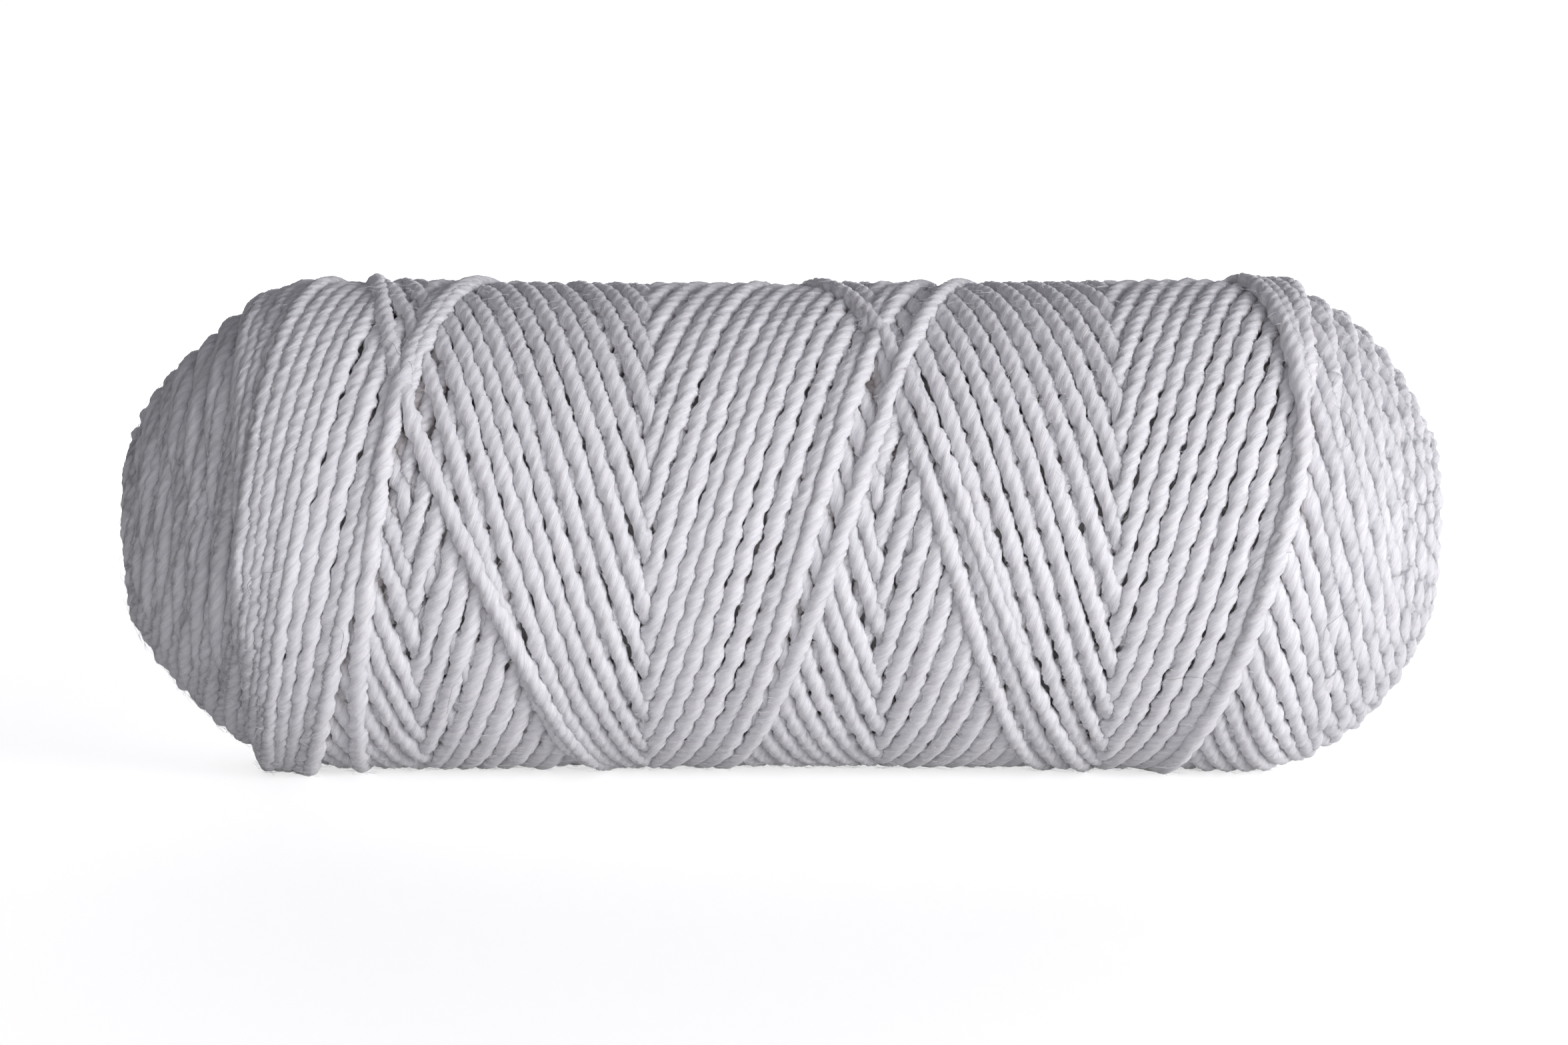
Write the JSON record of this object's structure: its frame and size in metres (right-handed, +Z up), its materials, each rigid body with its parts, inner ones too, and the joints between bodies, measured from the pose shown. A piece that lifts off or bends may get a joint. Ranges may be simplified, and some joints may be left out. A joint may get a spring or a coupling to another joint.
{
  "type": "cord spool",
  "caption": "Cross-wound spool of soft white twisted cord on a plain paper tube, with rounded ends, lying on its side",
  "frame": {"origin": "on the table, under the middle of the spool", "axes": "+X along the spool's axis, towards the end where the last wrap turns at the shoulder; +Y away from the side that the picture shows; +Z up from the table"},
  "size_m": [0.131, 0.0511, 0.0501],
  "materials": {
    "cord": "soft, matt, slightly hairy, with a faint sheen along the twisted plies",
    "paper_tube": "plain matt grey-brown paper board, spirally wound"
  },
  "bodies": {
    "root": {"core_tube": "paper_tube", "winding_layer_1": "cord", "winding_layer_2": "cord", "winding_layer_3": "cord", "winding_layer_4": "cord", "winding_layer_5": "cord", "last_wrap_leftward": "cord", "last_wrap_rightward": "cord"}
  },
  "joints": []
}
